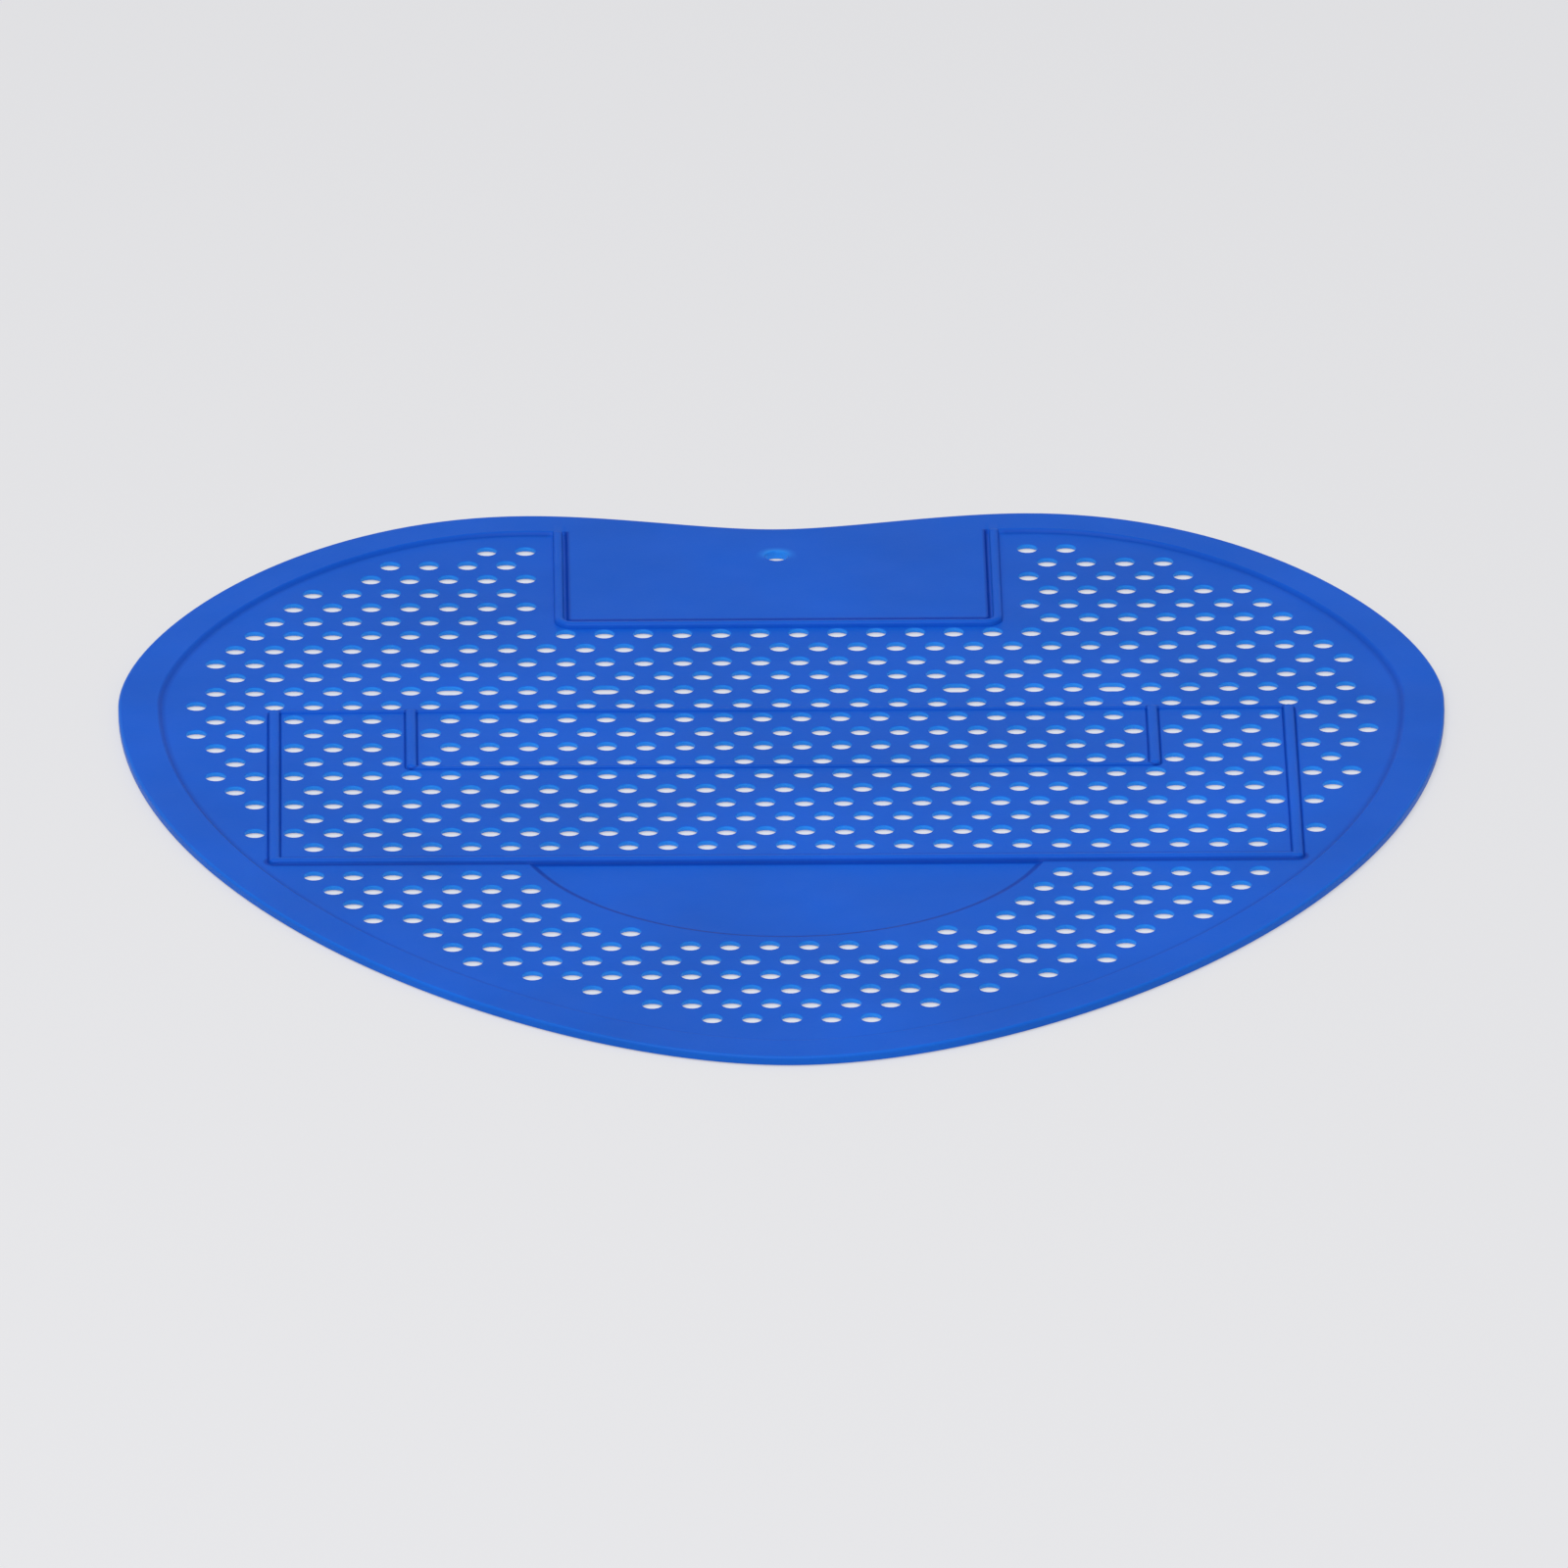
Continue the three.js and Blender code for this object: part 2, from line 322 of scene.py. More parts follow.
def from_line(points, line):
    """Distance of each point from the nearest stretch of an open line."""
    distance = np.full(len(points), np.inf)
    for start, end in zip(line[:-1], line[1:]):
        along = end - start
        share = np.clip((points - start) @ along / (along @ along), 0, 1)
        away = points - start - share[:, None] * along
        distance = np.minimum(distance, np.linalg.norm(away, axis=1))
    return distance


def is_inside(points, loop):
    """Which points lie inside a closed loop."""
    inside = np.zeros(len(points), dtype=bool)
    for start, end in zip(loop, np.roll(loop, -1, axis=0)):
        if start[1] == end[1]:
            continue
        spans = (start[1] > points[:, 1]) != (end[1] > points[:, 1])
        crossing = start[0] + (points[:, 1] - start[1]) * (end[0] - start[0]) / (end[1] - start[1])
        inside ^= spans & (points[:, 0] < crossing)
    return inside


class Layout:
    """Where everything on the sheet lies, worked out from the sizes."""

    def __init__(self, scene):
        self.plan = scene.drain_plan
        self.section = scene.drain_section
        self.holes = scene.drain_holes
        self.relief = scene.drain_relief
        holes, relief = self.holes, self.relief
        self.outline = sheet_outline(self.plan)
        self.row_pitch = holes.pitch * math.sqrt(3) / 2
        self.bar_y = LOW.y + relief.bar_from_tip
        self.field_y = self.bar_y + relief.field_rows * self.row_pitch
        self.split_y = self.bar_y + relief.split_rows * self.row_pitch
        self.long_x = relief.long_bar * holes.pitch
        self.short_x = relief.short_bar * holes.pitch
        self.label_y = self.bar_y + relief.label_row * self.row_pitch + holes.radius + holes.land
        depth = relief.crescent_depth
        self.crescent_radius = (relief.crescent_width**2 / 4 + depth**2) / (2 * depth)
        self.crescent_y = self.bar_y - relief.bar_width / 2 - depth + self.crescent_radius
        self.hang_place = np.array((0.0, HIGH.y - self.plan.notch_depth - holes.hang_from_edge))
        self.rim_rise = self.section.rim_height - self.section.web_thickness
        self.bars, self.lines = self.bar_lines()

    def bar_lines(self):
        """The middle lines of the raised bars and of the thin lines."""
        half_line = self.relief.line_width / 2
        upper_end = self.field_y - half_line
        bars = [[(-self.long_x, self.bar_y), (self.long_x, self.bar_y)]]
        for side in (-1, 1):
            bars.append([(side * self.long_x, self.bar_y), (side * self.long_x, upper_end)])
            bars.append([(side * self.short_x, self.split_y + half_line), (side * self.short_x, upper_end)])
        lines = [
            [(-self.long_x, self.field_y), (self.long_x, self.field_y)],
            [(-self.short_x, self.split_y), (self.short_x, self.split_y)],
        ]
        return [np.array(bar) for bar in bars], [np.array(line) for line in lines]

    def from_bars(self, points):
        """Distance of each point from the nearest bar's middle line."""
        return np.min([from_line(points, bar) for bar in self.bars], axis=0)

    def from_lines(self, points):
        """Distance of each point from the nearest thin line's middle."""
        return np.min([from_line(points, line) for line in self.lines], axis=0)

    def in_label(self, points):
        """How far each point lies inside the label's outline, which is open towards the rim."""
        corner = self.relief.label_corner
        across = np.abs(points[:, 0]) - (self.relief.label_width / 2 - corner)
        below = self.label_y + corner - points[:, 1]
        outside = np.hypot(np.maximum(across, 0), np.maximum(below, 0))
        return corner - outside - np.minimum(np.maximum(across, below), 0)

    def in_crescent(self, points):
        """How far each point lies inside the circle that the crescent is part of."""
        return self.crescent_radius - np.hypot(points[:, 0], points[:, 1] - self.crescent_y)

    def hole_places(self):
        """Middle and straight length of every hole in the web."""
        holes = self.holes
        rows_down = int((self.bar_y - LOW.y) / self.row_pitch)
        rows_up = int((HIGH.y - self.bar_y) / self.row_pitch)
        columns = math.ceil(HIGH.x / holes.pitch)
        places, slots = [], []
        for row in range(-rows_down, rows_up + 1):
            shift = 0.5 if row % 2 == 0 else 0.0
            for column in range(-columns, columns + 1):
                place = column + shift
                places.append((place * holes.pitch, self.bar_y + row * self.row_pitch))
                slots.append(row == holes.slot_row and abs(place) in (holes.slot_inner, holes.slot_outer))
        places = np.array(places)
        straight = np.array(slots) * holes.slot_straight
        clear = self.is_clear(places)
        return list(zip(places[clear], straight[clear]))

    def is_clear(self, points):
        """Which places are far enough from the edge, the panels and the bars for a hole."""
        reach = self.holes.radius + self.holes.land
        near_bar = self.relief.bar_width / 2 + reach
        across, y = np.abs(points[:, 0]), points[:, 1]
        in_label = (across < self.relief.label_width / 2 + reach) & (y > self.label_y)
        in_crescent = (y < self.bar_y) & (self.in_crescent(points) > -reach)
        on_low = np.abs(y - self.bar_y) < near_bar
        on_long = (np.abs(across - self.long_x) < near_bar) & (y > self.bar_y) & (y < self.field_y)
        on_short = (np.abs(across - self.short_x) < near_bar) & (y > self.split_y) & (y < self.field_y)
        from_edge = from_line(points, closed(self.outline))
        near_tip = y < LOW.y + self.holes.tip_reach
        least = np.where(near_tip, self.holes.tip_from_edge, self.holes.first_from_edge)
        inside = is_inside(points, self.outline) & (from_edge >= least)
        return inside & ~(in_label | in_crescent | on_low | on_long | on_short)


# Heights of the upper face, and its painted shade and glow


def smooth(low, high, value):
    """Eases from 0 at low to 1 at high."""
    share = np.clip((value - low) / (high - low), 0, 1)
    return share * share * (3 - 2 * share)


def bead(distance, half_width, height):
    """Height of a rounded bead at a distance from its middle line."""
    share = np.clip(distance / half_width, 0, 1)
    return height * (1 - share**BEAD_POWER) ** (1 / BEAD_POWER)


def bar_relief(layout, points):
    """Height of the bars and thin lines above the web, with the gutter along the bars."""
    relief = layout.relief
    from_bars = layout.from_bars(points)
    half = relief.bar_width / 2
    raised = np.maximum(
        bead(from_bars, half, relief.bar_height),
        bead(layout.from_lines(points), relief.line_width / 2, relief.line_height),
    )
    into_foot = (from_bars - half) / relief.foot_width
    gutter = -relief.foot_depth * np.clip(into_foot / FOOT_LOOPS[0], 0, 1)
    gutter *= 1 - smooth(FOOT_LOOPS[0], FOOT_LOOPS[1], into_foot)
    return np.where(raised > 0, raised, gutter)


def crescent_relief(layout, points):
    """How far the crescent's face lies below the web."""
    relief = layout.relief
    below_bar = layout.bar_y - points[:, 1] - relief.bar_width / 2
    sunk = smooth(0, relief.crescent_slope, layout.in_crescent(points))
    sunk *= smooth(0, relief.foot_width, below_bar)
    return -relief.crescent_sink * sunk


def label_relief(layout, points):
    """Height above the web inside the label's outline: the bead, the groove and the panel."""
    relief = layout.relief
    step = layout.in_label(points)
    half = relief.bead_width / 2
    floor = layout.rim_rise - relief.groove_depth
    outer = bead(half - step, half, relief.bead_height)
    inner = floor + bead(step - half, half, relief.bead_height - floor)
    into_groove = (step - relief.bead_width) / relief.groove_width
    panel = floor + relief.groove_depth * smooth(GROOVE_FLOOR, 1, into_groove)
    return np.where(step < half, outer, np.where(step < relief.bead_width, inner, panel))


def upper_height(layout, points):
    """Height of the upper face at each point."""
    section = layout.section
    from_edge = from_line(points, closed(layout.outline))
    off_rim = smooth(section.rim_width - section.rim_slope, section.rim_width, from_edge)
    open_web = bar_relief(layout, points) + crescent_relief(layout, points)
    relief = np.where(layout.in_label(points) > 0, label_relief(layout, points), open_web)
    return section.web_thickness + off_rim * relief + (1 - off_rim) * layout.rim_rise


def tent(value, low, high):
    """Rises from 0 at low to 1 halfway and falls to 0 at high."""
    return np.clip(1 - np.abs(2 * (value - low) / (high - low) - 1), 0, 1)


def painted_shade(layout, points):
    """How much painted shade each point gets, by how deep in a groove or along a foot it lies, from 0 to 1.
    """
    section, relief = layout.section, layout.relief
    half = relief.bar_width / 2
    flank = half * BEAD_LOOPS[-2]
    from_bars = layout.from_bars(points)
    foot = tent(from_bars, flank, half + relief.foot_width)
    low_foot = tent(from_line(points, layout.bars[0]), flank, half + LOW_BAR_FADE)
    low_foot *= from_bars > flank

    step = layout.in_label(points)
    from_edge = from_line(points, closed(layout.outline))
    rim_inner = section.rim_width - section.rim_slope
    groove = tent(step, relief.bead_width, relief.bead_width + relief.groove_width + GROOVE_FADE)
    groove *= from_edge > rim_inner
    rim_foot = tent(from_edge, rim_inner, section.rim_width + RIM_FADE)
    rim_foot *= step < 0
    step_down = tent(layout.in_crescent(points), 0, relief.crescent_slope)
    step_down *= points[:, 1] < layout.bar_y - half

    # Painted shade along the bars' feet, above the low bar, in the label's groove, at the crescent's step
    # and at the rim's foot
    shades = (
        BAR_SHADE * foot,
        BAR_SHADE * low_foot,
        GROOVE_SHADE * groove,
        CRESCENT_SHADE * step_down,
        RIM_SHADE * rim_foot,
    )
    return np.clip(np.maximum.reduce(shades), 0, 1)


def painted_hang_glow(layout, points):
    """How much painted glow each point gets on the notch's side of the hanging hole, from 0 to 1."""
    radius = layout.holes.hang_radius
    away = points - layout.hang_place
    fading = 1 - smooth(0, HANG_GLOW[-1], np.hypot(*away.T) - radius)
    return HANG_GLOW_SHARE * fading * smooth(-radius, radius, away[:, 1])


# The closed surface


class Shell:
    """Points and faces of a closed surface while it is built up."""

    def __init__(self):
        self.points = []
        self.faces = []
        self.painted_glow = []

    def add(self, points, painted_glow=0.0):
        """Adds points, with how much painted glow they get, and returns their numbers."""
        first = len(self.points)
        self.points.extend(map(tuple, points))
        self.painted_glow.extend(np.broadcast_to(painted_glow, len(points)))
        return np.arange(first, len(self.points))

    def band(self, lower, upper):
        """Joins two closed loops of points, seen from outside with lower running to the right."""
        for here in range(len(lower)):
            there = (here + 1) % len(lower)
            self.faces.append((lower[here], lower[there], upper[there], upper[here]))

    def sheet(self, flat, facing):
        """Adds the faces of a triangulated flat pattern, facing up (1) or down (-1)."""
        for face in flat:
            self.faces.append(tuple(face) if facing > 0 else tuple(face[::-1]))


class Pattern:
    """Loops and lines in the plane, which one triangulation then joins."""

    def __init__(self):
        self.points = []
        self.edges = []
        self.mark = []

    def loop(self, points, mark=-1):
        """A closed loop. Loops with the same mark, from 0 up, bound one hole. Returns its point numbers."""
        numbers = self.line(points, mark)
        self.edges.append((numbers[-1], numbers[0]))
        return numbers

    def line(self, points, mark=-1):
        """An open line, with a hole's mark or none. Returns its point numbers."""
        first = len(self.points)
        numbers = list(range(first, first + len(points)))
        self.points.extend(Vector(point) for point in points)
        self.mark.extend([mark] * len(points))
        self.edges.extend(zip(numbers[:-1], numbers[1:]))
        return numbers

    def triangles(self, boundary):
        """Triangles inside a boundary and outside the marked holes, and where each input point went."""
        points, _, faces, sources, _, _ = delaunay_2d_cdt(self.points, self.edges, [], 0, WELD, True)
        points = np.array(points)
        faces = np.array(faces)
        went = np.zeros(len(self.points), dtype=int)
        mark = np.full(len(points), -1)
        for number, origins in enumerate(sources):
            for origin in origins:
                went[origin] = number
                mark[number] = max(mark[number], self.mark[origin])
        corner = mark[faces]
        in_hole = (corner[:, 0] >= 0) & (corner[:, 0] == corner[:, 1]) & (corner[:, 1] == corner[:, 2])
        keep = is_inside(points[faces].mean(axis=1), boundary) & ~in_hole
        faces = faces[keep]
        a, b, c = (points[faces[:, corner]] for corner in range(3))
        turn = (b[:, 0] - a[:, 0]) * (c[:, 1] - a[:, 1]) - (b[:, 1] - a[:, 1]) * (c[:, 0] - a[:, 0])
        faces[turn < 0] = faces[turn < 0][:, ::-1]
        return points, faces, went


def quarter_round(radius, steps):
    """Steps in and down from a face to a side along a rounded edge, from the face to the side."""
    angles = np.linspace(0, math.pi / 2, steps)
    return [(radius * (1 - math.sin(angle)), radius * (1 - math.cos(angle))) for angle in angles]


def arc(middle, radius, angles):
    """Points round a middle at the given angles."""
    return middle + radius * np.column_stack((np.cos(angles), np.sin(angles)))


def hole_ring(place, radius, straight):
    """A closed loop round a hole, drawn out sideways where the hole is wide."""
    angles = np.arange(HOLE_SIDES) * 2 * math.pi / HOLE_SIDES
    ring = arc(place, radius, angles)
    ring[:, 0] += np.sign(np.cos(angles)) * straight / 2
    return ring


def capsule(line, distance):
    """A loop at a distance round a straight line, with round ends."""
    start, end = line
    along = (end - start) / np.linalg.norm(end - start)
    heading = math.atan2(along[1], along[0])
    turns = np.linspace(-math.pi / 2, math.pi / 2, CORNER_STEPS)
    arcs = [(end, heading + turns), (start, heading + math.pi + turns)]
    return np.vstack([arc(middle, distance, angles) for middle, angles in arcs])


def label_line(layout, step):
    """The label's outline drawn in by a step: down one side, along the bottom and up the other."""
    relief = layout.relief
    side = relief.label_width / 2 - step
    corner = relief.label_corner - step
    bottom = layout.label_y + step
    end = HIGH.y - layout.section.rim_width / 2
    turns = np.linspace(math.pi, 1.5 * math.pi, CORNER_STEPS)
    left = arc((corner - side, corner + bottom), corner, turns)
    right = left[::-1] * (-1, 1)
    return np.vstack(([(-side, end)], left, right, [(side, end)]))


def relief_lines(layout, pattern):
    """Draws every line where the upper face changes its slope, and where the painted shade of creases fades
    out.
    """
    section, relief = layout.section, layout.relief
    for share in SLOPE_LOOPS:
        pattern.loop(inset(layout.outline, section.rim_width - section.rim_slope * (1 - share)))
    # Where the rim's painted shade fades out
    pattern.loop(inset(layout.outline, section.rim_width + RIM_FADE))
    half = relief.bar_width / 2
    for bar in layout.bars:
        pattern.line(bar)
        for share in BEAD_LOOPS:
            pattern.loop(capsule(bar, half * share))
        for share in FOOT_LOOPS:
            pattern.loop(capsule(bar, half + relief.foot_width * share))
    # Lines across the painted shade above the low bar
    for share in SLOPE_LOOPS[1:]:
        pattern.loop(capsule(layout.bars[0], half + LOW_BAR_FADE * share))
    for line in layout.lines:
        pattern.line(line)
        for share in BEAD_LOOPS:
            pattern.loop(capsule(line, relief.line_width / 2 * share))
    pattern.line(label_line(layout, relief.bead_width / 2))
    for share in BEAD_LOOPS:
        pattern.line(label_line(layout, relief.bead_width / 2 * (1 - share)))
        pattern.line(label_line(layout, relief.bead_width / 2 * (1 + share)))
    for share in GROOVE_LOOPS:
        pattern.line(label_line(layout, relief.bead_width + relief.groove_width * share))
    # Where the groove's painted shade fades out
    pattern.line(label_line(layout, relief.bead_width + relief.groove_width + GROOVE_FADE))
    for share in SLOPE_LOOPS:
        pattern.line(crescent_arc(layout, relief.crescent_slope * share))


def crescent_arc(layout, step):
    """The crescent's round edge drawn in by a step, from one end at the low bar to the other."""
    radius = layout.crescent_radius - step
    end = math.asin((layout.bar_y - layout.crescent_y) / radius)
    angles = np.linspace(-math.pi - end, end, CRESCENT_STEPS)
    return arc((0.0, layout.crescent_y), radius, angles)


def openings(layout):
    """Middle, radius, straight length and upper level of every hole, the hanging hole last."""
    holes, web = layout.holes, layout.section.web_thickness
    found = [(place, holes.radius, straight, web) for place, straight in layout.hole_places()]
    return found + [(layout.hang_place, holes.hang_radius, 0.0, layout.section.rim_height)]


def upper_face(layout, shell, edge):
    """Adds the upper face within its edge. Returns the numbers of each hole's neck and of the edge."""
    holes = layout.holes
    pattern = Pattern()
    edge_numbers = pattern.loop(edge)
    relief_lines(layout, pattern)
    rounds = quarter_round(holes.rounding, ROUND_STEPS)
    heights, glow, necks = {}, {}, []
    for mark, (place, radius, straight, level) in enumerate(openings(layout)):
        for grow, drop in rounds:
            innermost = drop == rounds[-1][1]
            numbers = pattern.loop(hole_ring(place, radius + grow, straight), mark if innermost else -1)
            heights.update(dict.fromkeys(numbers, level - drop))
            # Painted glow grows down each hole's rounding, full at its neck
            glow.update(dict.fromkeys(numbers, drop / holes.rounding))
        necks.append(numbers)
    # Rings where the painted glow round the hanging hole fades out
    for reach in HANG_GLOW:
        pattern.loop(hole_ring(layout.hang_place, holes.hang_radius + reach, 0.0))

    points, faces, went = pattern.triangles(edge)
    level = upper_height(layout, points)
    # Painted glow round the hanging hole, and on each hole's rounding
    painted_glow = painted_hang_glow(layout, points)
    for number, height in heights.items():
        level[went[number]] = height
        painted_glow[went[number]] = max(painted_glow[went[number]], glow[number])
    top = shell.add(np.column_stack((points, level)), painted_glow)
    shell.sheet(top[faces], 1)
    return [top[went[neck]] for neck in necks], top[went[edge_numbers]]


def level_with(loop, height):
    """Points of a flat loop, lifted to one height."""
    return np.column_stack((loop, np.full(len(loop), height)))


def under_face(layout, shell, edge):
    """Adds the flat underside within its edge. Returns the numbers of each hole's mouth and of the edge."""
    pattern = Pattern()
    edge_numbers = pattern.loop(edge)
    widening = layout.holes.flare + layout.holes.chamfer
    mouths = []
    for mark, (place, radius, straight, _) in enumerate(openings(layout)):
        mouths.append(pattern.loop(hole_ring(place, radius + widening, straight), mark))
    points, faces, went = pattern.triangles(edge)
    bottom = shell.add(level_with(points, 0.0))
    shell.sheet(bottom[faces], -1)
    return [bottom[went[mouth]] for mouth in mouths], bottom[went[edge_numbers]]


def side_steps(section):
    """Steps in and heights of the loops round the sheet's side, from below upwards."""
    lower = quarter_round(section.under_round, ROUND_STEPS)[1:]
    upper = quarter_round(section.rim_round, EDGE_ROUND_STEPS)[:0:-1]
    return lower + [(step, section.rim_height - drop) for step, drop in upper]


def screen_shell(layout):
    """The whole sheet as one closed surface."""
    section, holes = layout.section, layout.holes
    shell = Shell()
    necks, top_edge = upper_face(layout, shell, inset(layout.outline, section.rim_round))
    mouths, lower = under_face(layout, shell, inset(layout.outline, section.under_round))
    for (place, radius, straight, _), neck, mouth in zip(openings(layout), necks, mouths):
        # Each hole's wall has full painted glow at its waist
        waist = shell.add(level_with(hole_ring(place, radius + holes.flare, straight), holes.chamfer), 1.0)
        shell.band(neck, waist)
        shell.band(waist, mouth)
    for step, height in side_steps(section):
        # The rim's side gets a faint painted glow
        ring = shell.add(level_with(inset(layout.outline, step), height), EDGE_GLOW)
        shell.band(lower, ring)
        lower = ring
    shell.band(lower, top_edge)
    return shell


def check_closed(mesh):
    """Stops where an edge of the surface hasn't exactly two faces."""
    uses = np.zeros(len(mesh.edges), dtype=int)
    edge_of = np.zeros(len(mesh.loops), dtype=np.int32)
    mesh.loops.foreach_get("edge_index", edge_of)
    np.add.at(uses, edge_of, 1)
    if not (uses == 2).all():
        raise RuntimeError(f"{int((uses != 2).sum())} edges of the sheet don't have two faces")


# The vinyl


def node(tree, kind, **values):
    """A new node, with its settings and the values of its inputs."""
    made = tree.nodes.new(kind)
    for name, value in values.items():
        if hasattr(made, name):
            setattr(made, name, value)
        else:
            made.inputs[name.replace("_", " ").title()].default_value = value
    return made


def spanned_noise(tree, place, noise, low, high):
    """A noise at a place, spread over the span from low to high."""
    made = node(tree, "ShaderNodeTexNoise", **noise)
    tree.links.new(place, made.inputs["Vector"])
    start, end = NOISE_SPAN
    spread = node(tree, "ShaderNodeMapRange", from_min=start, from_max=end, to_min=low, to_max=high)
    tree.links.new(made.outputs["Fac"], spread.inputs["Value"])
    return spread.outputs["Result"]


def bumped_noise(tree, place, noise, bump):
    """A bump node whose height is a noise at a place."""
    made = node(tree, "ShaderNodeTexNoise", **noise)
    tree.links.new(place, made.inputs["Vector"])
    raised = node(tree, "ShaderNodeBump", **bump)
    tree.links.new(made.outputs["Fac"], raised.inputs["Height"])
    return raised


def painted(tree, attribute, colour):
    """A mix node that turns to a colour as far as the mesh's attribute says."""
    depth = node(tree, "ShaderNodeAttribute", attribute_name=attribute)
    mix = node(tree, "ShaderNodeMix", data_type="RGBA")
    mix.inputs[MIX_SECOND].default_value = (*colour, 1)
    tree.links.new(depth.outputs["Fac"], mix.inputs["Factor"])
    return mix


def vinyl_material(look):
    """Soft satin vinyl in an even blue, with painted shade that darkens it in creases and a painted glow
    that lightens it on thin edges, with a fine grain.
    """
    material = bpy.data.materials.new("blue_vinyl")
    material.use_nodes = True
    tree = material.node_tree
    shader = tree.nodes["Principled BSDF"]
    link = tree.links.new
    place = tree.nodes.new("ShaderNodeTexCoord").outputs["Object"]

    # Painted shade in creases, then painted glow on thin edges
    shade = painted(tree, "painted_shade", look.painted_shade_colour)
    shade.inputs[MIX_FIRST].default_value = (*look.colour, 1)
    glow = painted(tree, "painted_glow", look.painted_glow_colour)
    link(shade.outputs[MIX_RESULT], glow.inputs[MIX_FIRST])
    toned = node(tree, "ShaderNodeVectorMath", operation="SCALE")
    link(glow.outputs[MIX_RESULT], toned.inputs[0])
    link(spanned_noise(tree, place, TONE_NOISE, *TONE_SPAN), toned.inputs["Scale"])
    link(toned.outputs["Vector"], shader.inputs["Base Color"])

    smoothest, roughest = (look.roughness + change for change in WEAR_SPAN)
    link(spanned_noise(tree, place, WEAR_NOISE, smoothest, roughest), shader.inputs["Roughness"])
    grain = bumped_noise(tree, place, GRAIN_NOISE, GRAIN_BUMP)
    waves = bumped_noise(tree, place, WAVE_NOISE, WAVE_BUMP)
    link(grain.outputs["Normal"], waves.inputs["Normal"])
    link(waves.outputs["Normal"], shader.inputs["Normal"])

    shader.inputs["Specular IOR Level"].default_value = look.gloss
    shader.inputs["Subsurface Weight"].default_value = look.spread
    shader.inputs["Subsurface Radius"].default_value = SPREAD_RADIUS
    shader.inputs["Subsurface Scale"].default_value = SPREAD_DEPTH
    return material


def paint(mesh, name, values):
    """Gives each point of a mesh its value, for the material to read."""
    attribute = mesh.attributes.new(name, "FLOAT", "POINT")
    attribute.data.foreach_set("value", np.array(values, dtype=np.float32))


class DRAIN_SCREEN_OT_mould_sheet(bpy.types.Operator):
    """Moulds the perforated sheet in blue vinyl"""

    bl_idname = "drain_screen.mould_sheet"
    bl_label = "Mould the sheet"

    def execute(self, context):
        layout = Layout(context.scene)
        shell = screen_shell(layout)
        mesh = bpy.data.meshes.new("vinyl_screen")
        mesh.from_pydata(shell.points, [], [tuple(map(int, face)) for face in shell.faces])
        if mesh.validate():
            raise RuntimeError("the sheet's mesh had faults")
        check_closed(mesh)
        points = np.array(shell.points)
        is_upper = points[:, 2] > PAINTED_FROM * layout.section.web_thickness
        # Painted shade in creases on the upper face, and painted glow from the shell, for the material to
        # read
        paint(mesh, "painted_shade", painted_shade(layout, points[:, :2]) * is_upper)
        paint(mesh, "painted_glow", shell.painted_glow)
        mesh.shade_smooth()
        mesh.set_sharp_from_angle(angle=SHARP_ANGLE)
        mesh.materials.append(vinyl_material(context.scene.drain_vinyl))
        piece = bpy.data.objects.new("vinyl_screen", mesh)
        context.scene.collection.objects.link(piece)
        normals = piece.modifiers.new("even_faces", "WEIGHTED_NORMAL")
        normals.keep_sharp = True
        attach(piece, "root")
        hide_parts("screen")
        return {"FINISHED"}


# The studio


def floor_material(stage):
    """Matt pale floor that takes shadows, softened by its own paleness for whoever looks at it."""
    material = bpy.data.materials.new("studio_floor")
    material.use_nodes = True
    tree = material.node_tree
    link = tree.links.new
    shader = tree.nodes["Principled BSDF"]
    shader.inputs["Base Color"].default_value = (*stage.floor_colour, 1)
    shader.inputs["Roughness"].default_value = FLOOR_ROUGHNESS
    shader.inputs["Specular IOR Level"].default_value = 0.0
    pale = tree.nodes.new("ShaderNodeEmission")
    pale.inputs["Color"].default_value = (*stage.floor_colour, 1)
    rays = tree.nodes.new("ShaderNodeLightPath")
    seen = None
    for name in ("Is Camera Ray", "Is Glossy Ray", "Is Transmission Ray"):
        either = node(tree, "ShaderNodeMath", operation="MAXIMUM")
        link(rays.outputs[name], either.inputs[0])
        if seen:
            link(seen, either.inputs[1])
        seen = either.outputs["Value"]
    share = node(tree, "ShaderNodeMath", operation="MULTIPLY")
    share.inputs[1].default_value = stage.floor_lift
    link(seen, share.inputs[0])
    mixed = tree.nodes.new("ShaderNodeMixShader")
    link(share.outputs["Value"], mixed.inputs["Fac"])
    link(shader.outputs["BSDF"], mixed.inputs[1])
    link(pale.outputs["Emission"], mixed.inputs[2])
    link(mixed.outputs["Shader"], tree.nodes["Material Output"].inputs["Surface"])
    return material


def lay_floor(scene):
    """A wide floor, just below the sheet."""
    signs = ((-1, -1), (1, -1), (1, 1), (-1, 1))
    corners = [(x * FLOOR_HALF, y * FLOOR_HALF, -FLOOR_GAP) for x, y in signs]
    mesh = bpy.data.meshes.new("studio_floor")
    mesh.from_pydata(corners, [], [(0, 1, 2, 3)])
    mesh.materials.append(floor_material(scene.drain_stage))
    floor = bpy.data.objects.new("studio_floor", mesh)
    scene.collection.objects.link(floor)


def light_studio(scene):
    """Even light from all round, and one large soft lamp that shines down from the front."""
    stage = scene.drain_stage
    world = bpy.data.worlds.new("studio")
    world.use_nodes = True
    background = world.node_tree.nodes["Background"]
    background.inputs["Color"].default_value = (1.0, 1.0, 1.0, 1.0)
    background.inputs["Strength"].default_value = stage.world_strength
    scene.world = world

    lamp = bpy.data.lights.new("overhead_lamp", "AREA")
    lamp.shape = "SQUARE"
    lamp.size = LAMP_SIZE
    lamp.energy = stage.lamp_power
    hung = bpy.data.objects.new("overhead_lamp", lamp)
    hung.location = LAMP_PLACE
    hung.rotation_euler = (-hung.location).to_track_quat("-Z", "Y").to_euler()
    hung.visible_camera = False
    scene.collection.objects.link(hung)


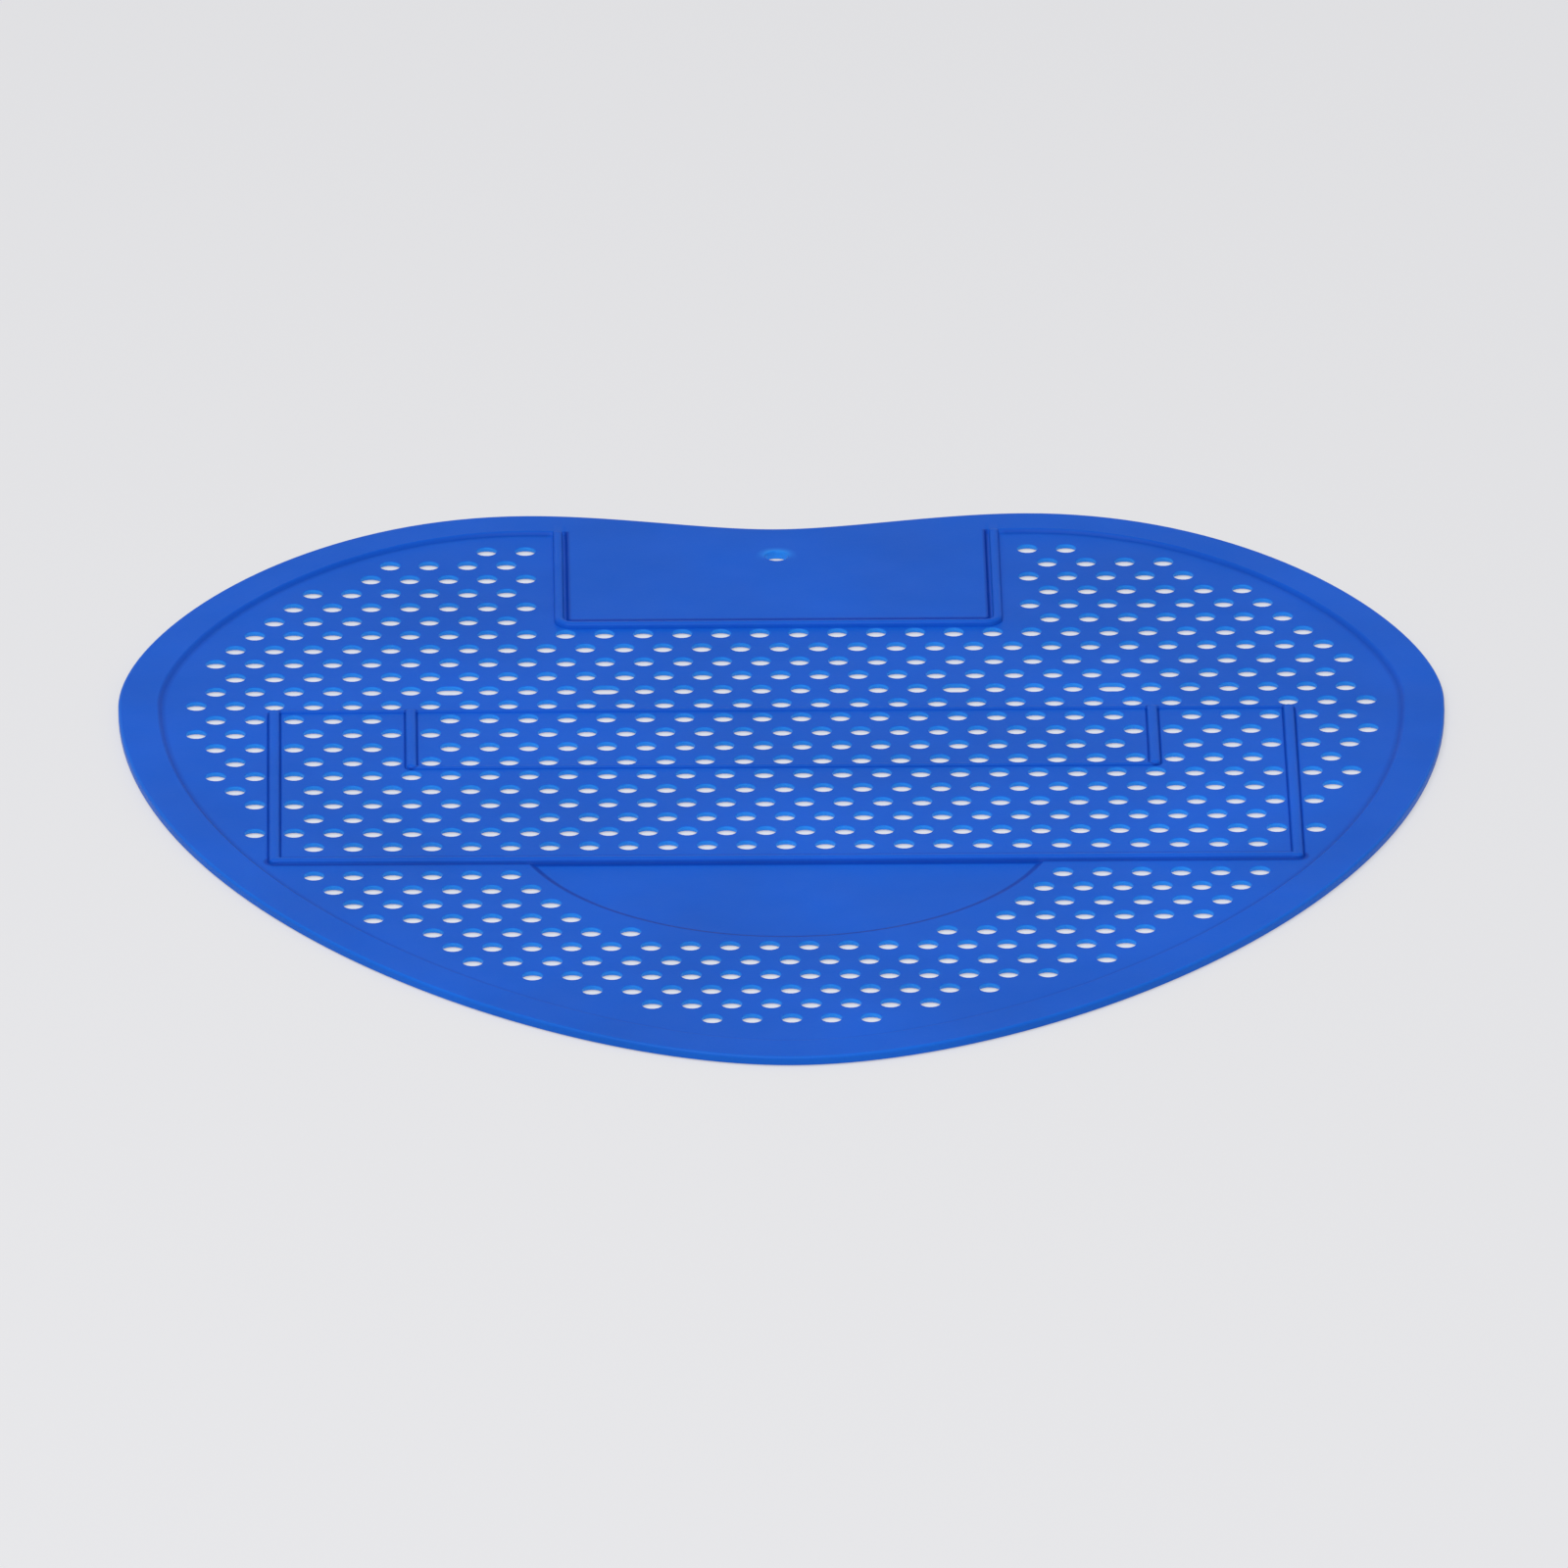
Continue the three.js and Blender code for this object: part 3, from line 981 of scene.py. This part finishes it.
def set_up_camera(scene):
    """A camera far off with a long lens, turned to the sheet's middle."""
    stage = scene.drain_stage
    camera = bpy.data.cameras.new("camera")
    camera.sensor_width = SENSOR_WIDTH
    camera.lens = SENSOR_WIDTH * stage.distance * stage.width_share / (HIGH.x - LOW.x)
    back = Vector((
        math.sin(stage.azimuth) * math.cos(stage.elevation),
        -math.cos(stage.azimuth) * math.cos(stage.elevation),
        math.sin(stage.elevation),
    ))
    eye = bpy.data.objects.new("camera", camera)
    eye.location = (LOW + HIGH) / 2 + back * stage.distance
    eye.rotation_euler = (-back).to_track_quat("-Z", "Y").to_euler()
    scene.collection.objects.link(eye)
    scene.camera = eye


class DRAIN_SCREEN_OT_set_stage(bpy.types.Operator):
    """Lays the floor, lights the sheet and sets up the camera"""

    bl_idname = "drain_screen.set_stage"
    bl_label = "Set the stage"

    def execute(self, context):
        scene = context.scene
        scene.view_settings.view_transform = "Standard"
        lay_floor(scene)
        light_studio(scene)
        set_up_camera(scene)
        return {"FINISHED"}


class DRAIN_SCREEN_PT_sidebar(bpy.types.Panel):
    """Lists the steps and the sizes in the 3D view's sidebar"""

    bl_idname = "DRAIN_SCREEN_PT_sidebar"
    bl_label = "Drain Screen"
    bl_space_type = "VIEW_3D"
    bl_region_type = "UI"
    bl_category = "Drain Screen"

    def draw(self, context):
        column = self.layout.column()
        for operator in OPERATORS:
            column.operator(operator.bl_idname)
        for name, group in GROUPS.items():
            box = self.layout.box()
            values = getattr(context.scene, name)
            for size in group.__annotations__:
                box.prop(values, size)


GROUPS = {
    "drain_plan": DrainScreenPlan,
    "drain_section": DrainScreenSection,
    "drain_holes": DrainScreenHoles,
    "drain_relief": DrainScreenRelief,
    "drain_vinyl": DrainScreenVinyl,
    "drain_stage": DrainScreenStage,
}
OPERATORS = (DRAIN_SCREEN_OT_mould_sheet, DRAIN_SCREEN_OT_set_stage)


def register():
    """Adds the sizes, the steps and the sidebar."""
    for group in GROUPS.values():
        bpy.utils.register_class(group)
    for name, group in GROUPS.items():
        setattr(bpy.types.Scene, name, PointerProperty(type=group))
    for operator in OPERATORS:
        bpy.utils.register_class(operator)
    bpy.utils.register_class(DRAIN_SCREEN_PT_sidebar)


def unregister():
    """Takes them away again."""
    bpy.utils.unregister_class(DRAIN_SCREEN_PT_sidebar)
    for operator in OPERATORS:
        bpy.utils.unregister_class(operator)
    for name, group in GROUPS.items():
        delattr(bpy.types.Scene, name)
        bpy.utils.unregister_class(group)


def main():
    """Makes the sheet and the stage."""
    register()
    bpy.ops.drain_screen.mould_sheet()
    bpy.ops.drain_screen.set_stage()


if __name__ == "__main__":
    main()
